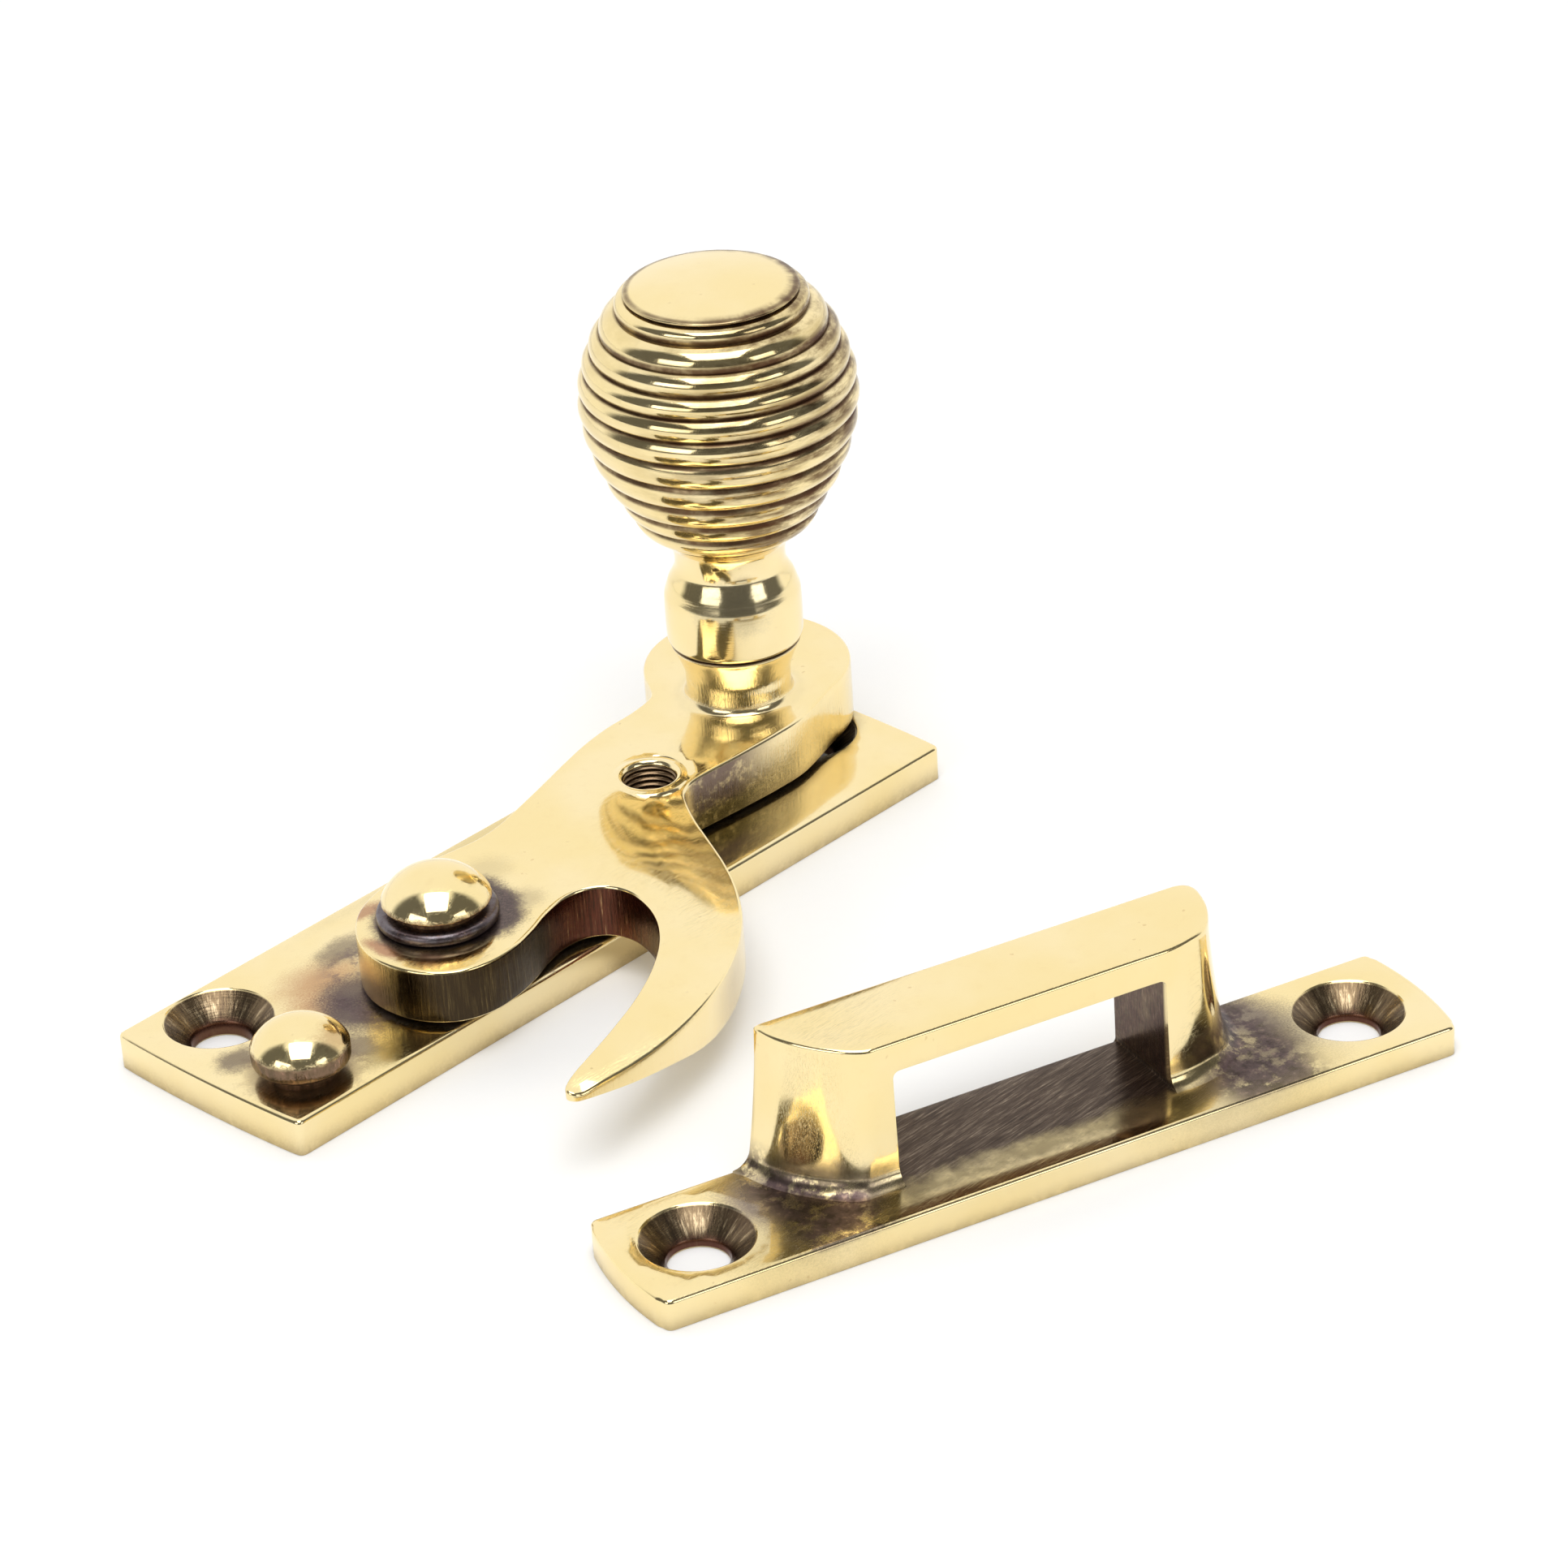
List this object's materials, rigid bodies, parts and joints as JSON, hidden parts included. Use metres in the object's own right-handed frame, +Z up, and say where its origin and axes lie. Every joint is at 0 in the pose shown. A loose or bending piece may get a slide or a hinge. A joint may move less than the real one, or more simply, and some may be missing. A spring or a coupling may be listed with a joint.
{
  "type": "window sash lock",
  "caption": "Sash window hook fastener: flat base plate, pivoting hook lever with ribbed ball knob and lock screw, and a separate looped keep plate.",
  "frame": {"origin": "on the mounting face of the base plate, at the axis of the pivot post", "axes": "+X along the base plate from the pivot towards the knob, +Y away from the hook and the keep, +Z up off the mounting face"},
  "size_m": [0.0728, 0.0812, 0.045],
  "materials": {
    "base_brass": "polished, lightly aged, dark lacquer stains",
    "lever_brass": "polished faces, file marks and dark patina in the throat",
    "knob_brass": "polished beads with darkened grooves",
    "rivet_brass": "polished domes",
    "dark_washer": "dark purple-brown patina",
    "stud_brass": "plain turned",
    "screw_steel": "blackened",
    "keep_brass": "polished, dark patina at the roots of the loop"
  },
  "bodies": {
    "base": {"base_plate": "base_brass", "pivot_post": "rivet_brass", "head_washer": "dark_washer", "spacer_washer": "dark_washer", "stop_stud": "rivet_brass"},
    "lever": {"hook_lever": "lever_brass", "beehive_knob": "knob_brass", "knob_stud": "stud_brass"},
    "lock_screw": {"lock_grub_screw": "screw_steel"},
    "keep": {"sash_keep": "keep_brass"}
  },
  "joints": [
    {"name": "lever_swing", "type": "hinge", "parent": "base", "child": "lever", "pos_m": [0, 0, 0.005], "axis": [0, 0, 1], "range_deg": [0, 146]},
    {"name": "lock_screw_travel", "type": "slide", "parent": "lever", "child": "lock_screw", "axis": [0, 0, 1], "range_m": [0, 0.0024]},
    {"name": "keep_sash_travel", "type": "slide", "parent": "base", "child": "keep", "axis": [0, 0, 1], "range_m": [0, 0.03]}
  ]
}
